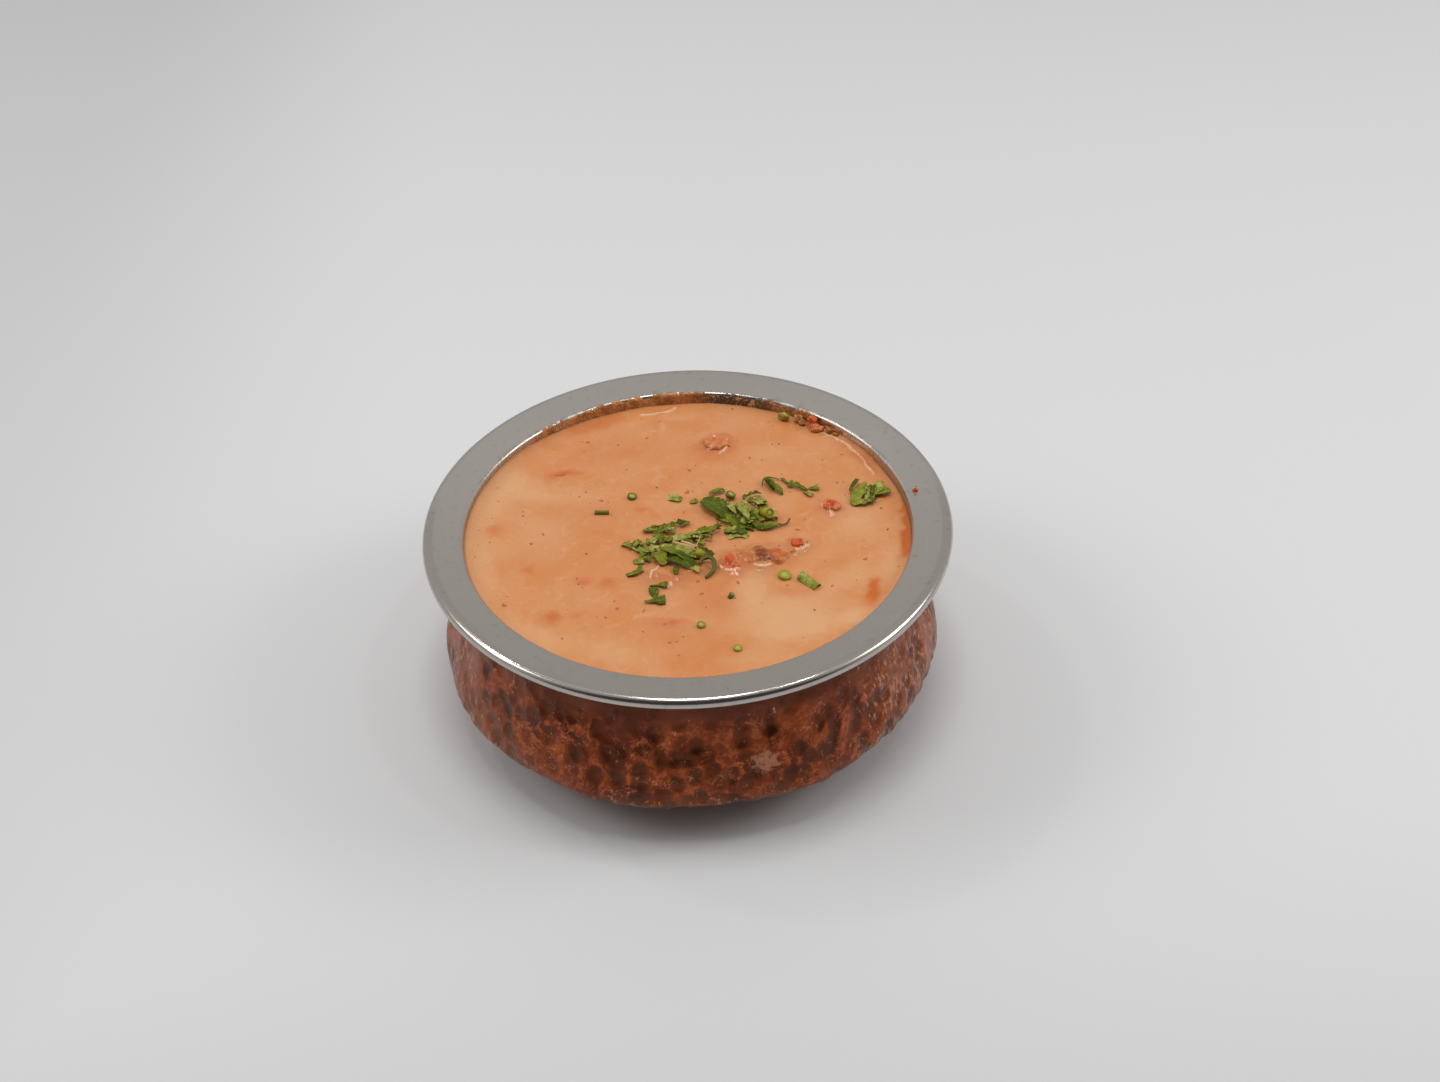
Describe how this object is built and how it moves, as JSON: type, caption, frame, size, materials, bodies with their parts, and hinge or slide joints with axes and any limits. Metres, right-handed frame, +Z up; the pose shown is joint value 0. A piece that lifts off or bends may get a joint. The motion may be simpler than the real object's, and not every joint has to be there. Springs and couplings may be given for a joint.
{
  "type": "chicken curry",
  "caption": "Creamy tomato chicken curry with chopped coriander, served in a round double-walled handi bowl with a wide steel flange and a hammered copper outside.",
  "frame": {"origin": "centre of the bowl's flat foot, on the surface it stands on", "axes": "+Z up along the bowl's turning axis; -Y towards the side that the chicken pieces and most of the herbs lie on; +X to the right seen from there"},
  "size_m": [0.14, 0.14, 0.054],
  "materials": {
    "steel": "satin spun stainless steel, fine turning marks, polished rolled lip",
    "copper": "hammered copper, dull brown patina in the dents, rubbed brighter on the ridges",
    "sauce": "smooth creamy tomato sauce, wet sheen, darker oil film at the edge",
    "chicken": "sauce-coated grilled chicken with one charred spot, glossy",
    "tomato": "cooked tomato dice, wet and glossy",
    "herb": "fresh chopped coriander leaf and stem, slightly wet"
  },
  "bodies": {
    "root": {"steel_bowl": "steel", "copper_shell": "copper", "curry_sauce": "sauce", "chicken_piece_1": "chicken", "chicken_piece_2": "chicken", "tomato_piece_1": "tomato", "tomato_piece_2": "tomato", "tomato_piece_3": "tomato", "tomato_piece_4": "tomato", "tomato_piece_5": "tomato"}
  },
  "joints": []
}
